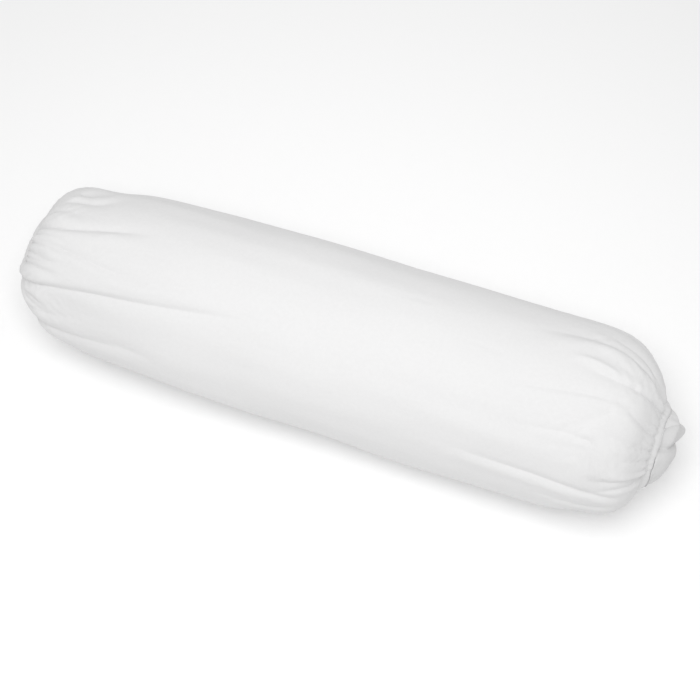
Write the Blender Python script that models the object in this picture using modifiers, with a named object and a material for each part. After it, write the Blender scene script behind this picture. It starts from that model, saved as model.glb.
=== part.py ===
"""Bolster pillow: a fibre-filled inner pillow in a cotton cover whose two ends are drawn in by elastic.

Frame: +X runs along the pillow to the end where the inner pillow bulges out, +Z is up, and the origin lies
on the surface that the pillow rests on, under the middle of its overall box. Units are metres.

Each layer is a section turned about the pillow's axis. A section is a list of (axial, radius) points, and
an outline is such a list that runs from the right end to the left. The inner case's outline is an inward
offset of the cover's, and every other piece lies between two depths under one of these two outlines, so
the layers stay nested when a size changes. Each piece is then pressed flat where the pillow rests.
"""

import math

import bmesh
import bpy
import numpy as np

# Overall sizes
OVERALL_LENGTH = 0.660  # left mouth to the tip of the right bulge
BODY_DIAMETER = 0.184  # over the cover, at its middle
REST_SINK = 0.007  # how far the underside is pressed flat
RIGHT_BULGE = 0.0245  # how far the inner pillow stands out of the right mouth
LEFT_RECESS = 0.001  # how far it stays behind the left mouth
MOUTH_DIAMETER = 0.074  # clear opening of each gathered end, about

# Shape of the ends: each is a superellipse from its shoulder to its mouth, and the left half tapers to it
RIGHT_SHOULDER = 0.088  # mouth to shoulder, along the axis
RIGHT_SQUARENESS = 3.1
LEFT_SHOULDER = 0.044
LEFT_SQUARENESS = 2.4
TAPER_LENGTH = 0.200
TAPER_DROP = 0.020  # radius lost by the left mouth
TAPER_POWER = 1.7
BULGE_SQUARENESS = 2.3

# Cloth, elastic and thread
COVER_CLOTH = 0.0008
CASE_CLOTH = 0.0006
COVER_EASE = 0.0012  # between the cover and the inner case
CASE_EASE = 0.0014  # between the inner case and the fibre
ELASTIC_WIDTH = 0.007
ELASTIC_THICKNESS = 0.0012
HEM_PAST_ELASTIC = 0.004  # hem cloth beyond the elastic, where its stitches run
STITCH_INSET = 0.0015  # hem stitches to the hem's edge
HEM_BLEND = 0.008  # length over which the inner case drops to pass under a hem
END_PANEL_RADIUS = 0.092  # round end panel of the inner case, measured along its cloth
THREAD_DIAMETER = 0.0005
CLEARANCE = 0.0003  # between pieces that touch

# Mesh steps
SEGMENTS = 32
COVER_SEAM_SEGMENT = 10  # side seams lie on an edge of the facets, counted from the underside towards +Y
CASE_SEAM_SEGMENT = -6
END_STEPS = 5
BODY_STEPS = 5
BULGE_STEPS = 5
FOLD_STEPS = 5
THREAD_SIDES = 5
MERGE_DISTANCE = 0.00001

# Sizes that follow from the ones above
BODY_RADIUS = BODY_DIAMETER / 2
REST_HEIGHT = BODY_RADIUS - REST_SINK  # the axis above the surface
CHANNEL = ELASTIC_THICKNESS + 2 * CLEARANCE
HEM_THICKNESS = CHANNEL + 2 * COVER_CLOTH
HEM_WIDTH = ELASTIC_WIDTH + HEM_PAST_ELASTIC
FOLD_RADIUS = HEM_THICKNESS / 2
MOUTH_RADIUS = MOUTH_DIAMETER / 2 + FOLD_RADIUS  # where the cover's outer face turns into its fold
LEFT_MOUTH = -OVERALL_LENGTH / 2
RIGHT_MOUTH = OVERALL_LENGTH / 2 - RIGHT_BULGE
SEAM_GAP = THREAD_DIAMETER / 2 + CLEARANCE  # from a seam's thread to the cloth at either side


def superellipse(share, power):
    """Radius over its largest, at a share of the way from the shoulder to the tip."""
    return (1 - min(1.0, share) ** power) ** (1 / power)


def tip_distance(shoulder, mouth_share, power):
    """Distance from a shoulder to the tip of the superellipse with mouth_share of its radius at the mouth."""
    return shoulder / superellipse(mouth_share, power)


RIGHT_TIP = tip_distance(RIGHT_SHOULDER, MOUTH_RADIUS / BODY_RADIUS, RIGHT_SQUARENESS)
LEFT_TIP = tip_distance(LEFT_SHOULDER, MOUTH_RADIUS / (BODY_RADIUS - TAPER_DROP), LEFT_SQUARENESS)


def outer_radius(axial):
    """Radius of the cover's outer face: a cylinder, less the taper, closed in by the two ends."""
    taper = TAPER_DROP * max(0.0, (LEFT_MOUTH + TAPER_LENGTH - axial) / TAPER_LENGTH) ** TAPER_POWER
    right = superellipse(max(0.0, axial - RIGHT_MOUTH + RIGHT_SHOULDER) / RIGHT_TIP, RIGHT_SQUARENESS)
    left = superellipse(max(0.0, LEFT_MOUTH + LEFT_SHOULDER - axial) / LEFT_TIP, LEFT_SQUARENESS)
    return (BODY_RADIUS - taper) * right * left


def steps_past_shoulder(shoulder, tip, power, count):
    """Distances past a shoulder, closer together where the end turns towards the axis."""
    last = math.asin((shoulder / tip) ** (power / 2))
    return [tip * math.sin(last * i / count) ** (2 / power) for i in range(1, count + 1)]


def cover_points():
    """The cover's outer face from the right mouth to the left."""
    right = RIGHT_MOUTH - RIGHT_SHOULDER
    left = LEFT_MOUTH + LEFT_SHOULDER
    past_right = steps_past_shoulder(RIGHT_SHOULDER, RIGHT_TIP, RIGHT_SQUARENESS, END_STEPS)
    past_left = steps_past_shoulder(LEFT_SHOULDER, LEFT_TIP, LEFT_SQUARENESS, END_STEPS)
    axials = [right + d for d in reversed(past_right)]
    axials += list(np.linspace(right, left, BODY_STEPS + 1))
    axials += [left - d for d in past_left]
    return [(x, outer_radius(x)) for x in axials]


class Outline:
    """A line of (axial, radius) points from right to left, with its arc lengths and inward normals."""

    def __init__(self, points):
        self.points = np.array(points, float)
        steps = np.diff(self.points, axis=0)
        lengths = np.hypot(steps[:, 0], steps[:, 1])
        self.arcs = np.concatenate([[0.0], np.cumsum(lengths)])
        self.length = self.arcs[-1]
        along = steps / lengths[:, None]
        along = np.concatenate([along[:1], along[:-1] + along[1:], along[-1:]])
        along /= np.hypot(along[:, 0], along[:, 1])[:, None]
        self.normals = np.stack([-along[:, 1], along[:, 0]], axis=1)
        self.normals[self.points[:, 1] == 0, 1] = 0  # a point on the axis stays on it

    def at(self, arc, depth):
        """The point at an arc length from the right end, moved inwards by depth."""
        point = np.array([np.interp(arc, self.arcs, self.points[:, k]) for k in (0, 1)])
        normal = np.array([np.interp(arc, self.arcs, self.normals[:, k]) for k in (0, 1)])
        return point + depth * normal

    def layer(self, start, end, depth):
        """Points at one depth from arc length start to end, with the outline's own points between them."""
        low, high = min(start, end), max(start, end)
        between = self.arcs[(self.arcs > low + CLEARANCE) & (self.arcs < high - CLEARANCE)]
        ordered = between if start < end else between[::-1]
        return [self.at(arc, depth) for arc in (start, *ordered, end)]

    def strip(self, start, end, depth, thickness):
        """Closed section of a layer of cloth."""
        return self.layer(start, end, depth) + self.layer(end, start, depth + thickness)

    def with_stations(self, arcs):
        """The same outline, with more points on it."""
        return Outline([self.at(arc, 0) for arc in np.unique([*self.arcs, *arcs])])


def fold(outline, arc, radius, turn):
    """Half-circle round a mouth's folded edge. A turn of 1 runs inwards from the outer face, -1 outwards."""
    centre = outline.at(arc, FOLD_RADIUS)
    inward = outline.at(arc, FOLD_RADIUS + 1) - centre
    outward = -1 if arc == 0 else 1
    towards_mouth = outward * np.array([inward[1], -inward[0]])
    angles = [turn * math.pi * (i / FOLD_STEPS - 0.5) for i in range(1, FOLD_STEPS)]
    return [centre + radius * (math.cos(a) * towards_mouth + math.sin(a) * inward) for a in angles]


def cover_section(outline):
    """The cover's cloth: one layer from mouth to mouth, folded back inside each end to hold the elastic."""
    length = outline.length
    back = HEM_THICKNESS - COVER_CLOTH
    section = outline.layer(0, length, 0)
    section += fold(outline, length, FOLD_RADIUS, 1)
    section += outline.layer(length, length - HEM_WIDTH, HEM_THICKNESS)
    section += outline.layer(length - HEM_WIDTH, length, back)
    section += fold(outline, length, CHANNEL / 2, -1)
    section += outline.layer(length, 0, COVER_CLOTH)
    section += fold(outline, 0, CHANNEL / 2, 1)
    section += outline.layer(0, HEM_WIDTH, back)
    section += outline.layer(HEM_WIDTH, 0, HEM_THICKNESS)
    section += fold(outline, 0, FOLD_RADIUS, -1)
    return section


def case_depth(outline, arc):
    """Depth of the inner case under the cover's outer face, more where it passes under a hem."""
    from_mouth = min(arc, outline.length - arc)
    share = min(1.0, max(0.0, (HEM_WIDTH + HEM_BLEND - from_mouth) / HEM_BLEND))
    under_cloth = COVER_CLOTH + COVER_EASE
    under_hem = HEM_THICKNESS + CLEARANCE
    return under_cloth + (under_hem - under_cloth) * share


def neck_and_bulge(outline):
    """The inner case from the right mouth's inner side, round the fold, and out to its tip on the axis."""
    tip = OVERALL_LENGTH / 2
    centre = outline.at(0, FOLD_RADIUS)
    inward = outline.at(0, FOLD_RADIUS + 1) - centre
    reach = FOLD_RADIUS + CLEARANCE
    angles = np.linspace(math.atan2(inward[1], inward[0]), -math.pi / 2, FOLD_STEPS)[1:]
    neck = [centre + reach * np.array([math.cos(a), math.sin(a)]) for a in angles]
    radius = centre[1] - reach
    span = tip - centre[0]
    quarter = [math.pi / 2 * i / BULGE_STEPS for i in range(1, BULGE_STEPS)]
    power = 2 / BULGE_SQUARENESS
    bulge = [(centre[0] + span * math.sin(a) ** power, radius * math.cos(a) ** power) for a in quarter]
    return neck + bulge + [(tip, 0.0)]


def shallow_dome(edge, tip):
    """The inner case across the left mouth, from the hem's inner side to its tip on the axis."""
    shares = [1 - i / BULGE_STEPS for i in range(1, BULGE_STEPS + 1)]
    return [(tip + (edge[0] - tip) * share**2, edge[1] * share) for share in shares]


def case_points(outline):
    """The inner case's outer face from its right tip to its left."""
    right = neck_and_bulge(outline)
    under_hem = outline.at(outline.length, HEM_THICKNESS + CLEARANCE)
    left = shallow_dome(under_hem, LEFT_MOUTH + LEFT_RECESS)
    between = [outline.at(arc, case_depth(outline, arc)) for arc in outline.arcs]
    return right[::-1] + between + left


def pressed(axial, radius, angle):
    """World place of a point at an angle round the axis, from the underside towards +Y, once pressed flat."""
    depth = outer_radius(axial) - radius
    height = max(REST_HEIGHT - radius * math.cos(angle), depth)
    return (axial, radius * math.sin(angle), height)


def press(mesh):
    """Moves each point of a turned mesh, whose axis is X, to its pressed place above the surface."""
    for vertex in mesh.vertices:
        x, y, z = vertex.co
        vertex.co = pressed(x, math.hypot(y, z), math.atan2(y, -z))


def material(name, colour, roughness):
    made = bpy.data.materials.new(name)
    made.use_nodes = True
    shader = made.node_tree.nodes["Principled BSDF"]
    shader.inputs["Base Color"].default_value = (*colour, 1)
    shader.inputs["Roughness"].default_value = roughness
    shader.inputs["Metallic"].default_value = 0
    return made


def add(name, mesh, finish):
    """An object for a mesh or a curve, in the pillow's collection."""
    mesh.materials.append(finish)
    made = bpy.data.objects.new(name, mesh)
    PARTS.objects.link(made)
    return made


def turned(name, section, finish):
    """A section turned about the axis. It is closed, or runs from the axis round to the axis again."""
    count = len(section)
    on_axis = section[0][1] == 0
    edges = [(i, (i + 1) % count) for i in range(count - on_axis)]
    mesh = bpy.data.meshes.new(name)
    mesh.from_pydata([(x, 0, -r) for x, r in section], edges, [])
    guide = bpy.data.objects.new(name + "_section", mesh)
    PARTS.objects.link(guide)
    screw = guide.modifiers.new("turn", "SCREW")
    screw.axis = "X"
    screw.steps = screw.render_steps = SEGMENTS
    screw.use_merge_vertices = True
    screw.merge_threshold = MERGE_DISTANCE
    graph = bpy.context.evaluated_depsgraph_get()
    solid = bpy.data.meshes.new_from_object(guide.evaluated_get(graph))
    bpy.data.objects.remove(guide)
    solid.name = name
    press(solid)
    close_outwards(solid)
    solid.shade_smooth()
    solid.set_sharp_from_angle(angle=math.radians(50))
    add(name, solid, finish)


def close_outwards(mesh):
    """Closes a solid at its poles and faces it outwards. It also splits each four-sided face along its lower
    diagonal, so that nested layers bend alike."""
    shape = bmesh.new()
    shape.from_mesh(mesh)
    bmesh.ops.remove_doubles(shape, verts=shape.verts, dist=MERGE_DISTANCE)
    bmesh.ops.recalc_face_normals(shape, faces=shape.faces)
    for face in [face for face in shape.faces if len(face.verts) == 4]:
        a, b, c, d = face.verts
        ends = (a, c) if a.co.z + c.co.z < b.co.z + d.co.z else (b, d)
        bmesh.utils.face_split(face, *ends)
    shape.to_mesh(mesh)
    shape.free()


def seam_ring(name, place, finish):
    """A line of stitches round the axis, as one ring of thread."""
    bpy.ops.mesh.primitive_torus_add(
        major_segments=SEGMENTS,
        minor_segments=THREAD_SIDES,
        major_radius=place[1],
        minor_radius=THREAD_DIAMETER / 2,
        rotation=(0, math.pi / 2, 0),
        location=(place[0], 0, 0),
    )
    ring = bpy.context.object
    mesh = ring.data
    mesh.transform(ring.matrix_world)
    bpy.data.objects.remove(ring)
    mesh.name = name
    press(mesh)
    mesh.shade_smooth()
    add(name, mesh, finish)


def seam_line(name, places, segment, finish):
    """A line of stitches along the pillow, at one of the facets' edges."""
    angle = math.tau * segment / SEGMENTS
    curve = bpy.data.curves.new(name, "CURVE")
    curve.dimensions = "3D"
    curve.bevel_depth = THREAD_DIAMETER / 2
    curve.bevel_resolution = 1
    curve.use_fill_caps = True
    line = curve.splines.new("POLY")
    line.points.add(len(places) - 1)
    for point, (axial, radius) in zip(line.points, places):
        point.co = (*pressed(axial, radius, angle), 1)
    add(name, curve, finish)


def add_cover(outline, cloth, elastic, thread):
    """The cover's cloth, its two elastics, and the stitches of its hems and its side seam."""
    turned("cover_cloth", cover_section(outline), cloth)
    for side, mouth, inwards in (("right", 0, 1), ("left", outline.length, -1)):
        edge = mouth + inwards * ELASTIC_WIDTH
        band = outline.strip(mouth, edge, COVER_CLOTH + CLEARANCE, ELASTIC_THICKNESS)
        turned("cover_elastic_" + side, band, elastic)
        stitches = outline.at(mouth + inwards * (HEM_WIDTH - STITCH_INSET), FOLD_RADIUS)
        seam_ring("cover_hem_thread_" + side, stitches, thread)
    start = HEM_WIDTH + HEM_BLEND
    under_cloth = COVER_CLOTH + SEAM_GAP
    side_seam = outline.layer(start, outline.length - start, under_cloth)
    seam_line("cover_side_thread", side_seam, COVER_SEAM_SEGMENT, thread)


def add_inner_pillow(outline, cloth, thread, fibre):
    """The inner case, a tube of cloth with a round panel sewn into each end, and the fibre that fills it."""
    right = END_PANEL_RADIUS
    left = outline.length - END_PANEL_RADIUS
    turned("inner_case_body", outline.strip(right + SEAM_GAP, left - SEAM_GAP, 0, CASE_CLOTH), cloth)
    turned("inner_case_end_right", outline.strip(0, right - SEAM_GAP, 0, CASE_CLOTH), cloth)
    turned("inner_case_end_left", outline.strip(outline.length, left + SEAM_GAP, 0, CASE_CLOTH), cloth)
    seam_ring("inner_end_thread_right", outline.at(right, CASE_CLOTH / 2), thread)
    seam_ring("inner_end_thread_left", outline.at(left, CASE_CLOTH / 2), thread)
    side_seam = outline.layer(right + SEAM_GAP, left - SEAM_GAP, CASE_CLOTH + SEAM_GAP)
    seam_line("inner_side_thread", side_seam, CASE_SEAM_SEGMENT, thread)
    turned("fibre_fill", outline.layer(0, outline.length, CASE_CLOTH + CASE_EASE), fibre)


def add_pillow():
    cover_cotton = material("cover cotton", (0.88, 0.88, 0.87), 0.9)
    case_cotton = material("case cotton", (0.84, 0.84, 0.83), 0.9)
    elastic = material("white elastic", (0.80, 0.80, 0.79), 0.7)
    thread = material("white thread", (0.85, 0.85, 0.84), 0.6)
    fibre = material("polyester fibre", (0.90, 0.90, 0.90), 1.0)
    outline = Outline(cover_points())
    hem_ends = (HEM_WIDTH, HEM_WIDTH + HEM_BLEND)
    outline = outline.with_stations([*hem_ends, *(outline.length - arc for arc in hem_ends)])
    add_cover(outline, cover_cotton, elastic, thread)
    add_inner_pillow(Outline(case_points(outline)), case_cotton, thread, fibre)


for old in list(bpy.data.objects):
    bpy.data.objects.remove(old)
PARTS = bpy.data.collections.new("bolster_pillow")
bpy.context.scene.collection.children.link(PARTS)
add_pillow()
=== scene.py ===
"""Looks of a bolster pillow: a gathered cotton cover over a stuffed inner pillow that bulges out of a mouth.

Every surface is a grid of points worked out with numpy. A place on the pillow is an arc length s along its
outline, from the left mouth to the right, or x along its axis, in metres, and an angle round the axis from
straight up towards the front (-Y). The cloth is a height over that outline. Side is -1 at the left, 1 at
the right.
"""

import math

import bpy
import numpy as np
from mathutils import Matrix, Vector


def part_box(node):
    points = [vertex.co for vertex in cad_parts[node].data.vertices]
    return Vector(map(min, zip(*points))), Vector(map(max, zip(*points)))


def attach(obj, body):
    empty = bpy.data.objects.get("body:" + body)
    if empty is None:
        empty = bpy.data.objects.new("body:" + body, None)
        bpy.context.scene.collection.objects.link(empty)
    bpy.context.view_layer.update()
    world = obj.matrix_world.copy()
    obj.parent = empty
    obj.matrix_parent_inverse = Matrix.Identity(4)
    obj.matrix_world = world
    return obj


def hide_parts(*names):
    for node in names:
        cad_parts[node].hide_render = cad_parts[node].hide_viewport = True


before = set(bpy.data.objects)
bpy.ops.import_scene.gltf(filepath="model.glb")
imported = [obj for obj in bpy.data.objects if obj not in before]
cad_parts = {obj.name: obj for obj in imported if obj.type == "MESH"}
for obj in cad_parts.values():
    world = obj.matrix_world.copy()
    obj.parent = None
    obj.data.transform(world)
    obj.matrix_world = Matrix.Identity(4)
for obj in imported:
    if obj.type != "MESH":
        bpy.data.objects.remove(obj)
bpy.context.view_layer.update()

# ---- sizes from the frame
cover_low, cover_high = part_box("cover_cloth")
LEFT_MOUTH, RIGHT_MOUTH = cover_low[0], cover_high[0]
BODY_RADIUS = cover_high[1]
AXIS_HEIGHT = cover_high[2] - BODY_RADIUS
PUFF_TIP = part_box("inner_case_end_right")[1][0]

# ---- the cover's outline
MOUTH_RADIUS = 0.0387
RIGHT_SHOULDER, RIGHT_SQUARENESS = 0.088, 3.1
LEFT_SHOULDER, LEFT_SQUARENESS = 0.044, 2.4
TAPER_LENGTH, TAPER_DROP, TAPER_POWER = 0.200, 0.020, 1.7


def superellipse(share, power):
    """Radius over its largest, at a share of the way from the shoulder to the tip."""
    return (1 - np.minimum(share, 1.0) ** power) ** (1 / power)


RIGHT_TIP = RIGHT_SHOULDER / superellipse(MOUTH_RADIUS / BODY_RADIUS, RIGHT_SQUARENESS)
LEFT_TIP = LEFT_SHOULDER / superellipse(MOUTH_RADIUS / (BODY_RADIUS - TAPER_DROP), LEFT_SQUARENESS)


def outer_radius(x):
    """A cylinder, less a taper to the left, closed in at both ends by superellipses."""
    taper = TAPER_DROP * np.maximum(0.0, (LEFT_MOUTH + TAPER_LENGTH - x) / TAPER_LENGTH) ** TAPER_POWER
    right = superellipse(np.maximum(0.0, x - RIGHT_MOUTH + RIGHT_SHOULDER) / RIGHT_TIP, RIGHT_SQUARENESS)
    left = superellipse(np.maximum(0.0, LEFT_MOUTH + LEFT_SHOULDER - x) / LEFT_TIP, LEFT_SQUARENESS)
    return (BODY_RADIUS - taper) * right * left


def smooth_step(value, start, end):
    """0 before start and 1 after end, with a smooth turn between them."""
    share = np.clip((value - start) / (end - start), 0, 1)
    return share * share * (3 - 2 * share)


def wrapped(angle):
    """An angle brought between minus and plus half a turn."""
    return (angle + math.pi) % math.tau - math.pi


class Meridian:
    """The outline from the left mouth to the right, by arc length: place, radius and outward normal."""

    def __init__(self):
        quarter = np.linspace(0, 1, 400)
        last = math.asin((RIGHT_SHOULDER / RIGHT_TIP) ** (RIGHT_SQUARENESS / 2))
        past_right = RIGHT_TIP * np.sin(last * quarter) ** (2 / RIGHT_SQUARENESS)
        last = math.asin((LEFT_SHOULDER / LEFT_TIP) ** (LEFT_SQUARENESS / 2))
        past_left = LEFT_TIP * np.sin(last * quarter) ** (2 / LEFT_SQUARENESS)
        left, right = LEFT_MOUTH + LEFT_SHOULDER, RIGHT_MOUTH - RIGHT_SHOULDER
        tube = np.linspace(left, right, 600)
        self.x = np.concatenate([left - past_left[:0:-1], tube, right + past_right[1:]])
        self.r = outer_radius(self.x)
        self.s = np.concatenate([[0], np.cumsum(np.hypot(np.diff(self.x), np.diff(self.r)))])
        self.length = self.s[-1]
        self.tx, self.tr = np.gradient(self.x, self.s), np.gradient(self.r, self.s)

    def at(self, s):
        """x, r, and the outward normal's x and r at arc lengths s."""
        x, r = np.interp(s, self.s, self.x), np.interp(s, self.s, self.r)
        tx, tr = np.interp(s, self.s, self.tx), np.interp(s, self.s, self.tr)
        size = np.hypot(tx, tr)
        return x, r, -tr / size, tx / size


MERIDIAN = Meridian()

# ---- the cover's creases and gathers
COLUMNS = 350
SEAM_ANGLE = math.radians(-67.5)  # the cover's side seam, on the far side
END_ZONE = 0.150  # cloth length at each end that has fine rows
END_ROWS, MIDDLE_ROWS, LINING_STEP = 62, 58, 5
CLOTH_THICKNESS = 0.0008
HEM_WIDTH, HEM_THICKNESS = 0.011, 0.0034
STITCH_LINE = 0.0095  # from the rim to the hem's stitches
ELASTIC_WIDTH, ELASTIC_THICKNESS = 0.007, 0.0012
ELASTIC_INSET = 0.0006  # from the rim to the elastic
DROOP = 0.0045  # of the right mouth
DROOP_FRONT, DROOP_DOWN = 0.91, 0.42  # its direction
DROOP_START, DROOP_END = 0.262, 0.306  # where along x it comes in
PRESS_SOFTNESS = 0.0015  # of the turn from the flat underside into the sides
UNEVEN_FIRM, UNEVEN_FINE = 0.00060, 0.00015  # of the stuffing's broad and small bumps
CRUMPLE, CRUMPLE_AT_ENDS = 0.00004, 0.00018  # of the cloth's finest wrinkles

# Creases, each as its places, depth, width and lip. The places are (x, angle) along it, in millimetres and
# degrees. Depth, half width and lip are in millimetres. A negative depth makes a ridge. The lip is the ridge
# beside the crease, on the side of the larger angles, or of the smaller where it is negative.
CREASES = (
    # left end
    (((-300, -21), (-280, -22), (-265, -21), (-240, -31)), 2.0, 2.4, -1.6),
    (((-290, -34), (-270, -28)), 2.0, 2.4, -0.6),
    (((-290, -50), (-250, -48)), 1.4, 2.6, -0.6),
    (((-312, -8), (-262, -9)), 1.4, 2.7, 0.4),
    (((-328, 8), (-300, 6), (-280, 6), (-240, -1), (-190, -6)), 4.2, 2.4, 1.3),
    (((-326, 14), (-305, 12), (-268, 14)), 3.4, 1.7, 0.9),
    (((-326, 21), (-300, 20), (-262, 25)), 3.2, 1.6, 0.9),
    (((-310, 17), (-285, 19), (-220, 25), (-170, 24)), 2.4, 2.2, 0.7),
    (((-326, 27), (-276, 30)), 3.2, 1.6, 0.8),
    (((-328, 41), (-305, 37), (-270, 38)), 4.4, 1.7, 1.2),
    (((-322, 34), (-300, 33), (-258, 27)), 2.8, 1.6, 0.8),
    (((-329, 58), (-310, 55), (-280, 47), (-240, 43), (-160, 36), (-60, 27)), 4.2, 2.8, -1.6),
    (((-240, 37), (-170, 32), (-118, 28)), 0.6, 2.4, -0.3),
    (((-326, 60), (-308, 62), (-277, 67)), 3.4, 1.8, -1.2),
    (((-314, 67), (-280, 71)), 2.2, 1.6, 0.6),
    (((-310, 75), (-270, 70), (-244, 63)), 1.8, 2.2, 0.6),
    (((-322, 89), (-274, 87), (-234, 80), (-160, 69)), 3.6, 3.8, 1.0),
    (((-212, 73), (-172, 73), (-148, 77)), 0.9, 4.0, 0.3),
    (((-320, 106), (-250, 106)), 1.9, 2.6, 0.6),
    # right end
    (((165, -19), (210, -25), (238, -27), (268, -19), (300, -18)), 2.3, 3.2, 1.7),
    (((222, -37), (262, -29), (294, -24)), 1.5, 2.8, 0.5),
    (((222, -50), (250, -48), (296, -38)), 1.6, 3.0, 0.6),
    (((206, -10), (228, -9), (254, -5)), -1.1, 1.3, 0.1),
    (((208, -5), (245, -1), (280, -1), (304, -11)), 2.3, 1.9, -0.9),
    (((140, 17), (180, 17), (225, 12), (276, 10)), 1.5, 1.8, 0.4),
    (((252, 9), (268, 14), (282, 17), (308, 19)), 1.6, 1.6, 0.6),
    (((232, 28), (246, 21), (256, 17)), 1.8, 2.8, 0.6),
    (((186, 38), (226, 35), (256, 38)), 1.4, 1.8, 0.4),
    (((240, 29), (275, 32), (310, 33)), 1.5, 1.6, 0.5),
    (((282, 22), (312, 28)), 1.1, 1.2, 0.4),
    (((288, 10), (314, 8)), 1.0, 1.2, 0.4),
    (((290, -2), (314, 0)), 0.9, 1.2, 0.3),
    (((262, 45), (285, 42), (312, 43)), 1.4, 1.6, 0.6),
    (((276, 52), (310, 51)), 1.3, 1.4, 0.7),
    (((236, 61), (256, 61), (288, 57), (308, 60)), 2.2, 1.8, -1.5),
    (((250, 71), (268, 68), (288, 63), (306, 66)), 2.0, 1.5, 0.8),
    (((110, 65), (157, 67), (213, 68), (253, 71), (292, 75)), 2.6, 2.5, 1.7),
    (((206, 82), (263, 86), (290, 87)), 1.6, 2.2, 0.6),
    (((236, 98), (292, 98)), 1.7, 2.4, 0.5),
    (((190, 110), (240, 112), (292, 109)), 1.9, 2.6, -0.6),
    # body
    (((46, -14), (76, -15)), 0.45, 2.0, 0.2),
    (((-86, 28), (-34, 24)), 0.45, 2.2, 0.2),
    (((-53, -12), (-38, -34)), 0.7, 2.4, 0.2),
    (((48, 29), (68, 29)), 0.4, 1.8, 0.1),
    (((96, 2), (150, 3)), 0.35, 2.4, 0.1),
    (((-190, 8), (-138, 9)), 0.35, 2.4, 0.1),
)

# Broader swellings, and hollows where the height is negative. Each has its x and angle, in millimetres and
# degrees, its half lengths along and across, and its height, in millimetres.
SWELLINGS = (
    # left end
    (-324, 24, 14, 18, -2.5), (-321, -12, 24, 28, -5.0), (-314, 96, 16, 14, -3.6),
    (-306, 97, 15, 24, -3.5), (-296, -4, 14, 10, 1.0), (-286, 27, 12, 8, 0.8),
    (-278, -42, 17, 9, 2.2), (-262, -60, 24, 18, -3.2), (-262, 56, 40, 11, -1.6),
    (-262, 80, 44, 12, 1.6),
    # body
    (-230, 20, 30, 14, 0.6), (-190, 58, 60, 16, -1.4), (-100, 115, 40, 20, -1.8),
    (-60, -30, 60, 20, 0.7), (0, -65, 50, 20, 1.2), (60, 40, 60, 20, -0.6),
    (100, 115, 70, 20, 1.4), (200, 50, 50, 14, 0.6),
    # right end
    (224, -8, 16, 3.5, 0.9), (236, 24, 13, 7, -0.8), (240, -15, 22, 6, -0.6),
    (246, -21, 26, 5, 1.2), (258, 110, 20, 18, -5.0), (262, 42, 22, 9, 0.9),
    (270, 52, 22, 5, 1.1), (288, -54, 18, 18, -1.2), (293, 24, 16, 40, -3.5),
    (300, 97, 12, 13, 0.8), (312, -38, 18, 16, 5.0), (322, 40, 12, 34, 1.5),
    (322, 92, 15, 20, 3.5),
)

# Each hem by its side: how far the cloth sinks behind it as a collar, the dip under its stitches, that dip's
# half length, and the rise of its rim. The right hem stands out as a band.
HEMS = (
    (-1, 0.4, 0.0003, 0.0016, 0.0),
    (1, 0.25, 0.0016, 0.0038, 0.0016),
)
FAR_SIDE = (121, 306)  # angles round the far side and the underside, where creases are made up
RIM = (-90, 262)  # angles that the short pleats run over


def made_up_creases(random):
    """Creases of the same sizes round the far side and the underside, and the short pleats that the elastic
    draws all round both rims."""
    creases = []
    for mouth, inwards in ((LEFT_MOUTH, 1), (RIGHT_MOUTH, -1)):
        angle, last = FAR_SIDE
        while angle < last:
            run = random.uniform(40, 125)
            near = 1000 * mouth + inwards * random.uniform(4, 8)
            drift = random.uniform(-6, 6)
            middle = (near + inwards * run / 2, angle + drift)
            far = (near + inwards * run, angle + 1.6 * drift)
            depth, width, lip = random.uniform(1.1, 2.3), random.uniform(1.8, 2.8), random.uniform(-0.7, 0.7)
            creases.append((((near, angle), middle, far), depth, width, lip))
            angle += random.uniform(10, 17)
        angle, last = RIM
        while angle < last:
            run = random.uniform(9, 24)
            drift = random.uniform(-2, 2)
            places = ((1000 * mouth, angle), (1000 * mouth + inwards * run, angle + drift))
            depth, width, lip = random.uniform(0.35, 0.8), random.uniform(1.1, 1.7), random.uniform(0, 0.3)
            creases.append((places, depth, width, lip))
            angle += random.uniform(7, 13)
    return creases


def arc_length_at(millimetres):
    """Arc lengths at places along x."""
    return np.interp(0.001 * np.asarray(millimetres), MERIDIAN.x, MERIDIAN.s)


def along_crease(places, s):
    """A crease's angle, in radians, and its strength at arc lengths s. Its line runs smoothly between its
    places. It fades over a fifth of it at the outer end and a third at the inner one, but not at a rim."""
    places = sorted(places)
    at = arc_length_at([x for x, _ in places])
    dense = np.linspace(at[0], at[-1], 80)
    line = np.interp(dense, at, np.radians([angle for _, angle in places]))
    for _ in range(120):
        line[1:-1] += 0.25 * (line[:-2] - 2 * line[1:-1] + line[2:])
    run = at[-1] - at[0]
    middle = MERIDIAN.length / 2
    strength = np.ones(len(s))
    if at[0] > 0.03:
        fade = 0.34 if at[-1] > middle else 0.2
        strength *= smooth_step(s, at[0] - 0.04 * run, at[0] + fade * run)
    if at[-1] < MERIDIAN.length - 0.03:
        fade = 0.2 if at[0] > middle else 0.34
        strength *= 1 - smooth_step(s, at[-1] - fade * run, at[-1] + 0.04 * run)
    return np.interp(s, dense, line), strength


def crease_share(places, s):
    """How far along a crease each row is, from 0 at its end nearer a mouth to 1 at its other end."""
    at = arc_length_at([x for x, _ in places])
    outer, inner = min(at), max(at)
    if outer + inner > MERIDIAN.length:
        outer, inner = inner, outer
    return np.clip((s - outer) / (inner - outer), 0, 1)


def across_crease(places, s, angles):
    """Distance from a crease's line, square to it and in millimetres, and its strength, at rows of angles."""
    line, strength = along_crease(places, s)
    r = MERIDIAN.at(s)[1]
    slope = np.gradient(line, s) * r
    distance = 1000 * wrapped(angles - line[:, None]) * (r / np.sqrt(1 + slope * slope))[:, None]
    return distance, strength[:, None]


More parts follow.
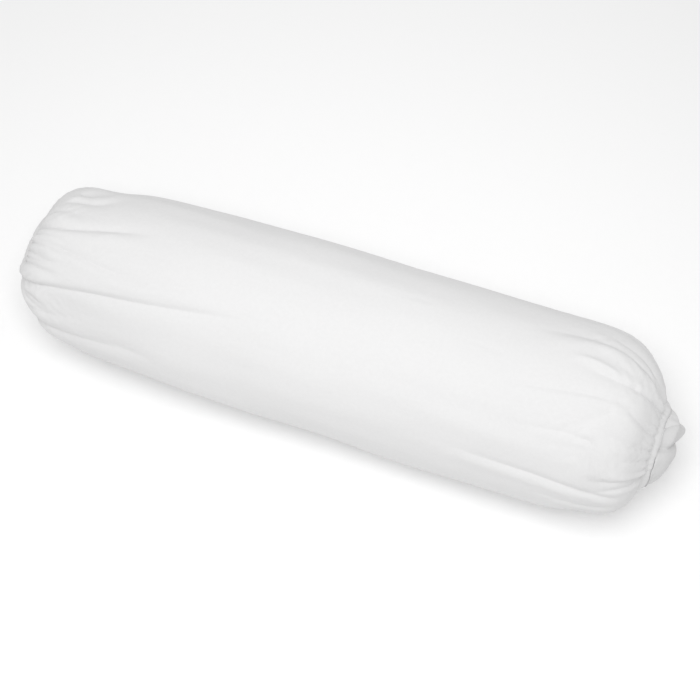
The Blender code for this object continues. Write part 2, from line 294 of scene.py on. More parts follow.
def distance_round(middle, s, angles):
    """Distance round the pillow from a middle angle, in millimetres, at rows of angles."""
    return 1000 * wrapped(angles - middle) * MERIDIAN.at(s)[1][:, None]


def column_angles(s, creases):
    """Angles of each row's columns, from the seam round to it again. They lie closer together beside a
    crease: it adds a bell to their density, whose running total is cut in equal shares."""
    even = SEAM_ANGLE + np.linspace(0, math.tau, 1081)
    density = np.ones((len(s), len(even)))
    for places, depth, width, _ in creases:
        line, strength = along_crease(places, s)
        distance = distance_round(line[:, None], s, even[None, :])
        beside = strength[:, None] * np.exp(-((distance / (2.2 * width)) ** 2))
        density += 2.4 * min(1, abs(depth)) * beside
    for _ in range(30):
        density[1:-1] = 0.25 * (density[:-2] + 2 * density[1:-1] + density[2:])
    total = np.cumsum(0.5 * (density[:, 1:] + density[:, :-1]), axis=1)
    total = np.concatenate([np.zeros((len(s), 1)), total], axis=1)
    share = np.arange(COLUMNS) / COLUMNS
    return np.array([np.interp(share * row[-1], row, even) for row in total])


def waves(s, angles, count, along, around, random):
    """Unevenness of mean height 0 and spread 1: a sum of plane waves in random directions, each with a whole
    number of turns round the pillow."""
    total = np.zeros(np.broadcast_shapes(s[:, None].shape, angles.shape))
    for _ in range(count):
        turns = random.integers(around[0], around[1] + 1)
        total += np.cos(random.normal(0, along) * s[:, None] + turns * angles + random.uniform(0, math.tau))
    return total / math.sqrt(count / 2)


def crease_height(crease, s, angles):
    """Height of one crease: a bell for its lip, less a sharp valley beside it. The crease gets shallower and
    wider away from the mouth, and the valley is gentler on its side without the lip."""
    places, depth, width, lip = crease
    distance, strength = across_crease(places, s, angles)
    run_in = crease_share(places, s)[:, None]
    width = width * (0.9 + 0.8 * run_in)
    depth = depth * (1.2 - 0.7 * run_in)
    lip_side = math.copysign(1, lip)
    gentle = 1 + 0.6 * smooth_step(-lip_side * distance, -0.5, 0.5)
    valley = np.exp(-(np.abs(distance / (width * gentle)) ** 1.4))
    ridge = np.exp(-(((distance - lip_side * 2.5 * width) / (1.8 * width)) ** 2))
    return 0.001 * strength * (abs(lip) * ridge - depth * valley)


def swelling_height(swelling, s, angles):
    """Height of one swelling: a bell with its own half length along the pillow and across it."""
    x, angle, run, reach, rise = swelling
    off = 1000 * (s - arc_length_at(x)) / run
    aside = distance_round(math.radians(angle), s, angles) / reach
    return 0.001 * rise * np.exp(-(off**2)[:, None] - aside**2)


def hem_height(into, collar, dip, dip_length, flare):
    """Height of a hem at distances into the cloth: its rim flares, its stitches draw in a groove, and the
    cloth sinks round it as a collar."""
    sunk = 0.0022 * smooth_step(into, 0.0006, 0.0075) * (1 - smooth_step(into, 0.0085, 0.034)) - 0.0005
    sunk = np.where(into < 0.034, sunk, -0.0005 * (1 - smooth_step(into, 0.034, 0.06)))
    groove = dip * np.exp(-(((into - STITCH_LINE) / dip_length) ** 2))
    return flare * (1 - smooth_step(into, 0, 0.008)) - collar * sunk - groove


def seam_height(s, angles):
    """Height of the side seam: a broad hollow that puckers between stitches, with a narrow groove in it."""
    across = distance_round(SEAM_ANGLE, s, angles)
    pucker = 0.3 + 0.12 * np.sin(s / 0.0021)[:, None] + 0.1 * np.sin(s / 0.0057)[:, None]
    return -0.001 * pucker * np.exp(-((across / 4.5) ** 2)) - 0.0006 * np.exp(-((across / 1.1) ** 2))


def cloth_height(s, angles, creases, random):
    """Height of the cloth over the outline: creases, which fade at the rims, swellings, hems, the stuffing's
    bumps, a fine crumpling that is strongest in patches near the ends, and the side seam."""
    height = np.zeros(angles.shape)
    into = np.minimum(s, MERIDIAN.length - s)
    near_rim = into[:, None]
    for crease in creases:
        height += crease_height(crease, s, angles)
    free_of_rim = np.where(s < END_ZONE, 0.022, 0.012)[:, None]
    height *= 0.15 + 0.85 * smooth_step(near_rim, 0.001, free_of_rim)
    for swelling in SWELLINGS:
        height += swelling_height(swelling, s, angles)
    for side, *shape in HEMS:
        height += hem_height(s if side < 0 else MERIDIAN.length - s, *shape)[:, None]
    body = smooth_step(into, 0.015, 0.07)[:, None]
    height += body * UNEVEN_FIRM * waves(s, angles, 14, 30, (1, 5), random)
    height += body * UNEVEN_FINE * waves(s, angles, 30, 26, (9, 26), random)
    ends = 1 - smooth_step(near_rim, 0.05, 0.17)
    patches = np.clip(0.5 + 0.8 * waves(s, angles, 12, 60, (2, 9), random), 0, 1.6)
    crumple = CRUMPLE + CRUMPLE_AT_ENDS * ends * patches * smooth_step(near_rim, 0.008, 0.03)
    height += crumple * waves(s, angles, 60, 420, (10, 70), random)
    return height + seam_height(s, angles)


def cloth_rows():
    """Arc lengths of the cloth's rows, closest together at the mouths."""
    share = np.linspace(0, 1, END_ROWS, endpoint=False)
    end = END_ZONE * (0.5 * share + 0.5 * share**2)
    middle = np.linspace(END_ZONE, MERIDIAN.length - END_ZONE, MIDDLE_ROWS)
    return np.concatenate([end, middle, MERIDIAN.length - end[::-1]])


def round_places(x, radius, angles):
    """Points at a radius and an angle round the axis, as if nothing pressed on the pillow."""
    y = -radius * np.sin(angles)
    z = AXIS_HEIGHT + radius * np.cos(angles)
    return np.stack(np.broadcast_arrays(x, y, z), axis=-1)


def over_outline(s, height, angles):
    """Points at a height over the outline, along its normal, at arc lengths s and angles round the axis."""
    x, r, nx, nr = MERIDIAN.at(s)
    return round_places(x + height * nx, r + height * nr, angles)


def pressed(points):
    """Lets the right mouth droop to the front, then presses the underside flat: the lowest points come to lie
    as far above the surface as they lie under the outline, with a soft turn into the sides."""
    x, y, z = np.moveaxis(points, -1, 0)
    droop = DROOP * smooth_step(x, DROOP_START, DROOP_END)
    y, z = y - DROOP_FRONT * droop, z - DROOP_DOWN * droop
    radius = np.hypot(y, z - AXIS_HEIGHT)
    floor = np.clip(outer_radius(np.clip(x, LEFT_MOUTH, RIGHT_MOUTH)) - radius, 0, 0.03)
    lifted = floor + PRESS_SOFTNESS * np.logaddexp(0, (z - floor) / PRESS_SOFTNESS)
    low = z < AXIS_HEIGHT * 0.4
    return np.stack([x, y, np.where(low, lifted, z)], axis=-1)


class Cloth:
    """The cover's outer face as rows of angles and heights over the outline, which the other layers follow.

    The lowest heights near each point are kept too, for the layers that must pass under every crease."""

    def __init__(self):
        random = np.random.default_rng(11)
        creases = (*CREASES, *made_up_creases(random))
        self.s = cloth_rows()
        self.angles = column_angles(self.s, creases)
        self.height = cloth_height(self.s, self.angles, creases, random)
        lowest = self.height
        for _ in range(3):
            lowest = np.minimum(lowest, np.minimum(np.roll(lowest, 1, 1), np.roll(lowest, -1, 1)))
            lowest[1:] = np.minimum(lowest[1:], lowest[:-1])
            lowest[:-1] = np.minimum(lowest[:-1], lowest[1:])
        for _ in range(6):
            lowest = (np.roll(lowest, 1, 1) + lowest + np.roll(lowest, -1, 1)) / 3
        self.lowest = np.minimum(lowest, self.height)

    def face(self, depth, rows=slice(None), columns=slice(None), under=False):
        """Points at a depth under the outer face, or, if under is set, under all its creases."""
        s, angles = self.s[rows], self.angles[rows, columns]
        height = (self.lowest if under else self.height)[rows, columns]
        return over_outline(s[:, None], height - np.broadcast_to(depth, s.shape)[:, None], angles)

    def height_in_row(self, row, angles):
        """Heights at angles that each have their own row. The rows are laid end to end for one lookup."""
        spacing = 2 * math.tau
        along = self.angles + spacing * np.arange(len(self.s))[:, None]
        turned = (angles - SEAM_ANGLE) % math.tau + SEAM_ANGLE
        turned = np.minimum(turned, self.angles[row, -1])
        return np.interp(turned + spacing * row, along.reshape(-1), self.height.reshape(-1))

    def at(self, s, depth, angles):
        """Points at a depth under the outer face at any arc lengths s and any angles."""
        s, angles, depth = np.broadcast_arrays(s, angles, depth)
        below = np.clip(np.searchsorted(self.s, s) - 1, 0, len(self.s) - 2)
        share = (s - self.s[below]) / (self.s[below + 1] - self.s[below])
        low, high = self.height_in_row(below, angles), self.height_in_row(below + 1, angles)
        return over_outline(s, low + share * (high - low) - depth, angles)


def fold_round(rim, inner, outward, half, steps):
    """Rows of a half circle round a hem's folded edge, from the outer face's rim row to the inside."""
    away = rim - inner
    away /= np.linalg.norm(away, axis=-1, keepdims=True)
    turn = np.linspace(0, math.pi, steps + 2)[1:-1, None, None]
    return rim - half * outward + half * (np.cos(turn) * outward + np.sin(turn) * away)


def hem_rows(cloth, side):
    """Rows of one hem from the rim's outer face: round the fold, along the inside of the layer that is turned
    back, along its outside to the rim again, and round the fold's inner face."""
    rows = slice(0, None) if side < 0 else slice(None, None, -1)
    s, angles = cloth.s[rows], cloth.angles[rows][0]
    count = int(np.searchsorted(np.abs(s - s[0]), HEM_WIDTH))
    _, _, nx, nr = MERIDIAN.at(s[0])
    outward = np.stack([nx + 0 * angles, -nr * np.sin(angles), nr * np.cos(angles)], -1)
    rim, next_row = cloth.face(0)[rows][:2]
    half = HEM_THICKNESS / 2
    outer_fold = fold_round(rim, next_row, outward, half, 5)
    centre = rim - half * outward
    inner_fold = centre + (outer_fold - centre) * (half - CLOTH_THICKNESS) / half
    back_inside = cloth.face(HEM_THICKNESS)[rows][:count]
    back_outside = cloth.face(HEM_THICKNESS - CLOTH_THICKNESS)[rows][:count]
    return np.concatenate([outer_fold, back_inside, back_outside[::-1], inner_fold[::-1]])


def cover_rows(cloth):
    """The cover's whole closed section, as rows: its outer face from left to right, the right hem, the lining
    side of the cloth from right to left, and the left hem."""
    s = cloth.s
    coarse = np.unique([0, *range(3, len(s) - 1, LINING_STEP), len(s) - 1])
    lining = cloth.face(CLOTH_THICKNESS)[coarse]
    sunk = cloth.face(CLOTH_THICKNESS + 0.0002, under=True)[coarse]
    into = np.minimum(s[coarse], s[-1] - s[coarse])
    past_hem = smooth_step(into, HEM_WIDTH, HEM_WIDTH + 0.004)[:, None, None]
    lining = lining + past_hem * (sunk - lining)
    return np.concatenate([cloth.face(0), hem_rows(cloth, 1), lining[::-1], hem_rows(cloth, -1)[::-1]])


# ---- the inner pillow
NECK_CLEARANCE = 0.00015  # between a hem's fold and the case
PUFF_TURN = math.radians(24.7)  # the angle that the puff's own directions are measured from
CASE_THICKNESS = 0.0006
CASE_SEAM_ANGLE = math.radians(112.5)
UNDER_COVER = 0.0016  # the case's face under the cover's, away from the hems
UNDER_HEM = HEM_THICKNESS + 0.0004
LEFT_PANEL_EDGE, LEFT_PANEL_TIP = 0.004, 0.0016  # inwards from the left hem's fold, and from the mouth

# Ripples round a mouth: whole turns, phase and height in millimetres
NECK_RIPPLES = ((23, 0.4, 0.22), (31, 2.1, 0.16), (17, 4.0, 0.25), (41, 1.2, 0.08))
PANEL_RIPPLES = ((5, 0.3, 0.5), (9, 2.2, 0.45), (14, 4.1, 0.35), (22, 1.1, 0.22))


def mouth_fold(side, rise=0.0):
    """Centre of a hem's folded edge, as x and radius, where the rim stands a rise over the outline, and the
    outline's normal there."""
    x, r, nx, nr = MERIDIAN.at(0.0 if side < 0 else MERIDIAN.length)
    out = rise - HEM_THICKNESS / 2
    return x + out * nx, r + out * nr, nx, nr


def soft_least(sharpness, *values):
    """The least of several values, rounded where two of them cross."""
    return -np.log(sum(np.exp(-sharpness * v) for v in values)) / sharpness


def ripples(of_turns, angles, twist):
    """A sum of waves round the mouth, whose crests lean by a twist."""
    return sum(size * np.cos(turns * angles[None, :] + phase + twist) for turns, phase, size in of_turns)


def upper_lobe(p, q, below_crease, dome):
    """Rise of the puff's upper lobe over its dome: a wedge under the least of a slope that climbs from the
    rim, a wall at either side and a slanting top. All is in millimetres."""
    slope = soft_least(0.5, 1.3 * (39.5 + p), 15 + 0.6 * (39.5 + p))
    wall = 1.9 * (37.0 - np.abs(q + 0.5))
    top = 15.6 + 0.36 * (31.0 - np.abs(q - 4)) - 0.10 * np.maximum(0, p + 20)
    wedge = soft_least(0.9, slope, wall, top)
    upper = 1 - smooth_step(below_crease, -2.0, 2.0)
    return upper * (np.minimum(wedge, dome + 9 * smooth_step(dome, 0, 6)) - dome)


def puff_detail(p, q, below_crease, share, angles):
    """Height of the puff's smaller forms: the ear at the wedge's corner, the crease between the lobes with a
    swelling below it, ripples near the neck and the filling's bumps. All is in millimetres."""
    ear = 4.8 * np.exp(-np.hypot((p + 21) / 5.5, (q - 2) / 9) ** 1.5)
    there = smooth_step(q, -38, -14) * (0.75 + 0.25 * smooth_step(q, -6, 8))
    crease = 3.8 * there * np.exp(-np.abs(below_crease / np.where(below_crease < 0, 3.6, 2.4)) ** 1.3)
    swelling = 0.8 * there * np.exp(-(((below_crease - 8) / 6) ** 2))
    near_neck = (1 - share) ** 1.5 * smooth_step(share, 0, 0.12)
    bumps = 0.25 * np.sin(0.23 * p + 0.9) * np.sin(0.19 * q + 0.4) * smooth_step(share, 0, 0.2)
    return ear - crease + swelling + near_neck * ripples(NECK_RIPPLES, angles, 3 * share) + bumps


def puff_rows(angles, rim_rise, count):
    """Rows of the part that stands out of the right mouth, from the neck to near its tip.

    Its own directions are p, down, and q, towards the front. The lower lobe is a round dome that swells past
    the neck and lies over the hem's fold. The upper lobe is a blunt wedge that rises to an ear. A crease
    parts them, from the tip down the near side."""
    share = (((np.arange(count) + 0.5) / count) ** 1.4)[:, None]
    centre_x, centre_r, _, _ = mouth_fold(1, rim_rise * (1 - smooth_step(share, 0.02, 0.3)))
    reach = HEM_THICKNESS / 2 + NECK_CLEARANCE
    neck = centre_r - reach
    span = PUFF_TIP - 0.0010 - centre_x
    turn = angles[None, :] - PUFF_TURN
    quarter = math.pi / 2 * share
    lower = smooth_step(np.sin(turn), -0.6, 0.7)
    lowest = smooth_step(np.sin(turn), 0.1, 0.9)
    swell = (0.0018 + 0.0016 * lower + 0.0004 * lowest) * smooth_step(share, 0, 0.06)
    radius = (neck + swell) * np.cos(quarter)
    x = span * np.sin(quarter)
    over_fold = np.sqrt(np.maximum(reach**2 - np.minimum(radius - centre_r, 0) ** 2, 0))
    p, q = 1000 * radius * np.sin(turn), 1000 * radius * np.cos(turn)
    below_crease = ((p + 9) * 37 - q * 13) / 39.2
    lobe = upper_lobe(p, q, below_crease, 1000 * x)
    detail = puff_detail(p, q, below_crease, share, angles)
    along, outwards = np.sin(quarter) ** 0.8, np.cos(quarter) ** 0.8
    size = np.hypot(along, outwards)
    x = centre_x + np.maximum(x + 0.001 * (lobe + detail * along / size), over_fold)
    radius = np.maximum(radius + 0.001 * detail * outwards / size, 0.0004)
    return round_places(x, radius, angles[None, :])


def neck_rows(angles, rim_rise, steps):
    """Rows of the case from under the right hem, round its folded edge, to the mouth."""
    centre_x, centre_r, nx, nr = mouth_fold(1, rim_rise)
    reach = HEM_THICKNESS / 2 + NECK_CLEARANCE
    turn = np.linspace(math.atan2(-nr, -nx), -math.pi / 2, steps + 2)[1:-1, None]
    return round_places(centre_x + reach * np.cos(turn), centre_r + reach * np.sin(turn), angles[None, :])


def seam_row(cloth, node):
    """Index of the cloth's row nearest to the seam that holds one of the case's end panels."""
    low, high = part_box(node)
    return int(np.argmin(np.abs(MERIDIAN.at(cloth.s)[0] - (low[0] + high[0]) / 2)))


def case_depths(s):
    """Depth of the inner case's face under the cover's outer face: it drops to pass under each hem."""
    into = np.minimum(s, MERIDIAN.length - s)
    return UNDER_HEM + smooth_step(into, HEM_WIDTH, HEM_WIDTH + 0.010) * (UNDER_COVER - UNDER_HEM)


def left_dome_rows(angles, rim_rise, count):
    """Rows of the panel in the left mouth, from the hem to near the axis: a shallow, wrinkled dome."""
    centre_x, centre_r, _, _ = mouth_fold(-1, rim_rise)
    edge_x, edge_r = centre_x + LEFT_PANEL_EDGE, centre_r - HEM_THICKNESS / 2 - 0.0006
    tip_x = LEFT_MOUTH + LEFT_PANEL_TIP
    share = 1 - (np.arange(count)[:, None] + 0.5) / count
    wrinkled = share * np.sin(math.pi * np.minimum(1, 1.08 * share)) ** 0.5
    wrinkles = 0.001 * (0.5 + ripples(PANEL_RIPPLES, angles, 4 * share)) * wrinkled
    x = tip_x + (edge_x - tip_x) * share**2.2 + wrinkles
    return round_places(x, edge_r * share, angles[None, :])


# ---- meshes
def mesh_object(name, points, faces):
    """An object of smooth faces: points as an array, and faces as arrays of corners."""
    mesh = bpy.data.meshes.new(name)
    mesh.vertices.add(len(points))
    mesh.vertices.foreach_set("co", np.asarray(points, np.float32).reshape(-1))
    corners = np.concatenate([part.reshape(-1) for part in faces])
    sizes = np.concatenate([np.full(len(part), part.shape[1]) for part in faces])
    mesh.loops.add(len(corners))
    mesh.loops.foreach_set("vertex_index", corners.astype(np.int32))
    mesh.polygons.add(len(sizes))
    starts = np.concatenate([[0], np.cumsum(sizes)[:-1]])
    mesh.polygons.foreach_set("loop_start", starts.astype(np.int32))
    mesh.update(calc_edges=True)
    mesh.polygons.foreach_set("use_smooth", np.ones(len(sizes), bool))
    made = bpy.data.objects.new(name, mesh)
    bpy.context.scene.collection.objects.link(made)
    return made


def grid_object(name, points, closed=False, start_tip=None, end_tip=None):
    """A mesh whose points form rows, each joined round. The rows may be closed in a ring, or have a tip."""
    rows, columns = points.shape[:2]
    index = np.arange(rows * columns).reshape(rows, columns)
    if closed:
        index = np.concatenate([index, index[:1]])
    across = np.roll(index, -1, axis=1)
    faces = [np.stack([index[:-1], across[:-1], across[1:], index[1:]], -1).reshape(-1, 4)]
    places = [points.reshape(-1, 3)]
    count = rows * columns
    if start_tip is not None:
        faces.append(np.stack([np.full(columns, count), across[0], index[0]], -1))
        places.append(np.reshape(start_tip, (1, 3)))
        count += 1
    if end_tip is not None:
        faces.append(np.stack([index[-1], across[-1], np.full(columns, count)], -1))
        places.append(np.reshape(end_tip, (1, 3)))
    return mesh_object(name, np.concatenate(places), faces)


def cloth_map(made, u, v, girth):
    """A map in metres of cloth: u round the girth and v along, given at each point of a grid."""
    mesh = made.data
    loops = np.empty(len(mesh.loops), np.int32)
    mesh.loops.foreach_get("vertex_index", loops)
    start = np.empty(len(mesh.polygons), np.int32)
    mesh.polygons.foreach_get("loop_start", start)
    sizes = np.diff(np.append(start, len(loops)))
    first = np.repeat(u[loops[start]], sizes)
    here = u[loops]
    here = here + girth * (here < first - girth / 2) - girth * (here > first + girth / 2)
    layer = mesh.uv_layers.new(name="cloth")
    layer.data.foreach_set("uv", np.stack([here, v[loops]], -1).reshape(-1).astype(np.float32))


def thickened(made, thickness):
    """Gives an open face its wall, inwards."""
    solid = made.modifiers.new("thickness", "SOLIDIFY")
    solid.thickness = thickness
    solid.offset = -1


def stitches(name, places, radius):
    """A line of running stitches. Each is a thin spindle of thread along three or more places."""
    sides, points, quads, ends = 6, [], [], []
    turn = np.linspace(0, math.tau, sides, endpoint=False)
    for line in places:
        count = len(line)
        along = np.gradient(line, axis=0)
        along /= np.linalg.norm(along, axis=1, keepdims=True)
        across = np.cross(along, (0.31, 0.17, 0.94))
        across /= np.linalg.norm(across, axis=1, keepdims=True)
        other = np.cross(along, across)
        thick = radius * np.sin(math.pi * (np.arange(count) + 0.6) / (count + 0.2)) ** 0.5
        ring = line[:, None] + thick[:, None, None] * (
            np.cos(turn)[None, :, None] * across[:, None] + np.sin(turn)[None, :, None] * other[:, None]
        )
        base = len(points) * (count * sides + 2)
        index = base + np.arange(count * sides).reshape(count, sides)
        beside = np.roll(index, -1, axis=1)
        quads.append(np.stack([index[:-1], beside[:-1], beside[1:], index[1:]], -1).reshape(-1, 4))
        tip = base + count * sides
        ends.append(np.stack([np.full(sides, tip), beside[0], index[0]], -1))
        ends.append(np.stack([np.full(sides, tip + 1), index[-1], beside[-1]], -1))
        tips = [line[0] - 0.4 * radius * along[0], line[-1] + 0.4 * radius * along[-1]]
        points.append(np.concatenate([ring.reshape(-1, 3), tips]))
    return mesh_object(name, np.concatenate(points), [np.concatenate(quads), np.concatenate(ends)])


# ---- materials
class Finish:
    """A material of one dull colour with a soft sheen, and short ways to add and join a pattern's nodes."""

    def __init__(self, name, colour, roughness, sheen):
        self.material = bpy.data.materials.new(name)
        self.material.use_nodes = True
        self.tree = self.material.node_tree
        self.sockets = self.tree.nodes["Principled BSDF"].inputs
        self.sockets["Base Color"].default_value = (*colour, 1)
        self.sockets["Roughness"].default_value = roughness
        self.sockets["Sheen Weight"].default_value = sheen
        self.sockets["Sheen Roughness"].default_value = 0.5
        self.sockets["Specular IOR Level"].default_value = 0.2

    def math(self, operation, *values):
        node = self.tree.nodes.new("ShaderNodeMath")
        node.operation = operation
        for socket, value in zip(node.inputs, values):
            if isinstance(value, (int, float)):
                socket.default_value = value
            else:
                self.tree.links.new(value, socket)
        return node.outputs[0]

    def times(self, first, second):
        return self.math("MULTIPLY", first, second)

    def plus(self, first, second):
        return self.math("ADD", first, second)

    def sine(self, value):
        return self.math("SINE", value)

    def noise(self, vector, scale, detail):
        node = self.tree.nodes.new("ShaderNodeTexNoise")
        node.inputs["Scale"].default_value = scale
        node.inputs["Detail"].default_value = detail
        self.tree.links.new(vector, node.inputs["Vector"])
        return node.outputs["Fac"]

    def cloth_map(self):
        node = self.tree.nodes.new("ShaderNodeUVMap")
        node.uv_map = "cloth"
        split = self.tree.nodes.new("ShaderNodeSeparateXYZ")
        self.tree.links.new(node.outputs["UV"], split.inputs[0])
        return node.outputs["UV"], split.outputs["X"], split.outputs["Y"]

    def place(self):
        return self.tree.nodes.new("ShaderNodeTexCoord").outputs["Object"]

    def bump(self, height, strength, distance):
        node = self.tree.nodes.new("ShaderNodeBump")
        node.inputs["Strength"].default_value = strength
        node.inputs["Distance"].default_value = distance
        self.tree.links.new(height, node.inputs["Height"])
        self.tree.links.new(node.outputs["Normal"], self.sockets["Normal"])

    def tone(self, factor, low, high):
        node = self.tree.nodes.new("ShaderNodeMix")
        node.data_type = "RGBA"
        self.tree.links.new(factor, node.inputs["Factor"])
        node.inputs["A"].default_value = (*low, 1)
        node.inputs["B"].default_value = (*high, 1)
        self.tree.links.new(node.outputs["Result"], self.sockets["Base Color"])


def cotton(name, colour, pitch, wear):
    """Plain weave: the product of a wave across and a wave along the cloth, with threads of uneven thickness.
    Its tone varies by a share, wear, from place to place and from fibre to fibre."""
    weave = Finish(name, colour, 0.92, 0.12)
    cloth, across, along = weave.cloth_map()
    warp = weave.sine(weave.times(across, math.pi / pitch))
    weft = weave.sine(weave.times(along, math.pi / pitch))
    threads = weave.times(weave.times(warp, weft), 0.5)
    slub = weave.noise(cloth, 330, 3)
    weave.bump(weave.plus(threads, slub), 0.35, 0.0002)
    clouds = weave.times(weave.noise(weave.place(), 14, 2), 0.3)
    specks = weave.times(weave.noise(weave.place(), 300, 2), 0.7)
    low = [c * (1 - wear) for c in colour]
    high = [min(1, c * (1 + wear)) for c in colour]
    weave.tone(weave.plus(clouds, specks), low, high)
    return weave.material


def ribbed_elastic():
    """Braided elastic: ribs round the band, crossed by the braid's slanting yarns."""
    braid = Finish("white elastic", (0.80, 0.80, 0.79), 0.7, 0.1)
    cloth, across, along = braid.cloth_map()
    rib = braid.sine(braid.times(along, math.tau / 0.0012))
    slant = braid.plus(braid.times(across, 5200), braid.times(rib, 1.2))
    yarn = braid.times(braid.sine(slant), 0.4)
    braid.bump(braid.plus(braid.times(rib, 0.6), yarn), 0.6, 0.0002)
    braid.tone(braid.noise(cloth, 300, 2), (0.76, 0.76, 0.75), (0.82, 0.82, 0.81))
    return braid.material


def twisted_thread():
    """Sewing thread: a fine slanting twist and a faint variation along it."""
    strand = Finish("white thread", (0.85, 0.85, 0.84), 0.6, 0.05)
    place = strand.place()
    twist = strand.tree.nodes.new("ShaderNodeTexWave")
    twist.bands_direction = "DIAGONAL"
    twist.inputs["Scale"].default_value = 2500
    strand.tree.links.new(place, twist.inputs["Vector"])
    strand.bump(twist.outputs["Fac"], 0.4, 0.0001)
    strand.tone(strand.noise(place, 500, 2), (0.80, 0.80, 0.79), (0.88, 0.88, 0.87))
    return strand.material


def loose_fibre():
    """Polyester fibre: fine tangled strands over soft lumps, slightly see-through."""
    fluff = Finish("polyester fibre", (0.90, 0.90, 0.90), 1.0, 0.4)
    place = fluff.place()
    strands = fluff.plus(fluff.noise(place, 900, 8), fluff.noise(place, 60, 3))
    fluff.bump(strands, 0.8, 0.001)
    fluff.tone(fluff.noise(place, 40, 4), (0.84, 0.84, 0.84), (0.93, 0.93, 0.93))
    fluff.sockets["Subsurface Weight"].default_value = 0.2
    fluff.sockets["Subsurface Radius"].default_value = (0.01, 0.01, 0.01)
    fluff.sockets["Subsurface Scale"].default_value = 0.5
    return fluff.material


# ---- pieces
GIRTH = BODY_RADIUS * math.tau
MOUTH_GIRTH_RADIUS = 0.038  # of the elastic's map
ELASTIC_RIB = 0.00012  # half the height of its ribs
NEVER_ROUND = 1e9  # a girth for a map that doesn't go round
EVERY_SECOND = slice(None, None, 2)  # every second column of the cloth
THREAD_RADIUS = 0.00025
HEM_STITCH, SEAM_STITCH = 0.0028, 0.004


def place_piece(made, material, slot, *nodes):
    """Gives a piece its material, and hides the nodes that it stands for. Every piece rides on the one body.
    """
    made.data.materials.append(material)
    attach(made, "root")
    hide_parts(*nodes)
    return made


def arc_lengths(rows):
    """Length run by a grid's rows, along their mean line, at each row."""
    steps = np.linalg.norm(np.diff(rows, axis=0), axis=-1).mean(axis=1)
    return np.concatenate([[0], np.cumsum(steps)])


def make_cover(cloth, material):
    """The cover with its hems. Its map runs round the girth and along the cloth as it was cut."""
    rows = cover_rows(cloth)
    made = grid_object("cover", pressed(rows), closed=True)
    last_row = len(cloth.s) - 1
    v = np.concatenate([cloth.s, cloth.s[-1] + arc_lengths(rows[last_row:])[1:]])
    angles = np.arctan2(-rows[..., 1], rows[..., 2] - AXIS_HEIGHT)
    u = ((angles - SEAM_ANGLE + 1e-4) % math.tau) * BODY_RADIUS
    cloth_map(made, u.reshape(-1), np.repeat(v, COLUMNS), GIRTH)
    place_piece(made, material, "cover_cotton", "cover_cloth")


def make_elastic(cloth, side, material):
    """A ribbed band inside the hem, as a closed section turned round the mouth."""
    end = "left" if side < 0 else "right"
    across = np.linspace(0, 1, 11)
    rib = ELASTIC_RIB * np.cos(math.tau * 5 * across)
    half = ELASTIC_THICKNESS / 2
    middle = HEM_THICKNESS / 2
    into = ELASTIC_INSET + ELASTIC_WIDTH * np.concatenate([across, across[::-1]])
    depth = np.concatenate([middle - half + rib + ELASTIC_RIB, (middle + half - rib - ELASTIC_RIB)[::-1]])
    s = into if side < 0 else MERIDIAN.length - into
    near = slice(None, 12) if side < 0 else slice(-12, None)
    angles = cloth.angles[0 if side < 0 else -1, EVERY_SECOND]
    heights = cloth.height[near, EVERY_SECOND]
    height = np.array([np.interp(s, cloth.s[near], column) for column in heights.T]).T
    points = over_outline(s[:, None], height - depth[:, None], angles[None, :])
    if side > 0:
        points = points[::-1]
    made = grid_object("elastic_" + end, pressed(points), closed=True)
    u = np.broadcast_to((angles - SEAM_ANGLE) * MOUTH_GIRTH_RADIUS, points.shape[:2]).reshape(-1)
    v = np.repeat(arc_lengths(points), len(angles))
    cloth_map(made, u, v, math.tau * MOUTH_GIRTH_RADIUS)
    return place_piece(made, material, "elastic", "cover_elastic_" + end)


def sewn(name, cloth, s, depth, angles, material, node):
    """Stitches at a depth in the cloth, each row of places one stitch."""
    places = pressed(cloth.at(s, depth, angles))
    return place_piece(stitches(name, places, THREAD_RADIUS), material, "thread", node)


def ring_stitches(name, cloth, s, depth, spacing, material, node):
    """Running stitches round the pillow at one arc length. Each dips into the cloth at its ends."""
    count = int(math.tau * float(MERIDIAN.at(s)[1]) / spacing)
    start = math.tau * np.arange(count)[:, None] / count
    angles = start + np.linspace(0, 0.68, 5)[None, :] * math.tau / count
    sink = depth + 0.0003 * np.abs(np.linspace(-1, 1, 5))[None, :] ** 3
    return sewn(name, cloth, s, sink, angles, material, node)


def line_stitches(name, cloth, ends, depth, angle, material, node):
    """Running stitches along the pillow at one angle, between two arc lengths."""
    start, end = ends
    count = int((end - start) / SEAM_STITCH)
    first = start + (end - start) * np.arange(count)[:, None] / count
    s = first + np.linspace(0, 0.7, 5)[None, :] * SEAM_STITCH
    return sewn(name, cloth, s, depth, angle, material, node)


def panel_map(made, rows):
    """A flat map of a round panel, in metres: the length to its last row, by angle, round its tip."""
    angles = np.arctan2(-rows[..., 1], rows[..., 2] - AXIS_HEIGHT)
    lengths = arc_lengths(rows)
    reach = (lengths[-1] - lengths)[:, None] + 0.002
    u = (reach * np.cos(angles)).reshape(-1)
    v = (reach * np.sin(angles)).reshape(-1)
    cloth_map(made, np.append(u, 0.0), np.append(v, 0.0), NEVER_ROUND)


class Case:
    """The inner case's outer face under the cover, on every second column of the cloth, and its seam rows."""

    def __init__(self, cloth):
        self.s = cloth.s
        self.left = seam_row(cloth, "inner_end_thread_left")
        self.right = seam_row(cloth, "inner_end_thread_right")
        self.depths = case_depths(self.s)
        self.face = cloth.face(self.depths, columns=EVERY_SECOND, under=True)
        self.angles = cloth.angles[:, EVERY_SECOND]
        self.left_rim = self.angles[0], cloth.height[0, EVERY_SECOND]
        self.right_rim = self.angles[-1], cloth.height[-1, EVERY_SECOND]


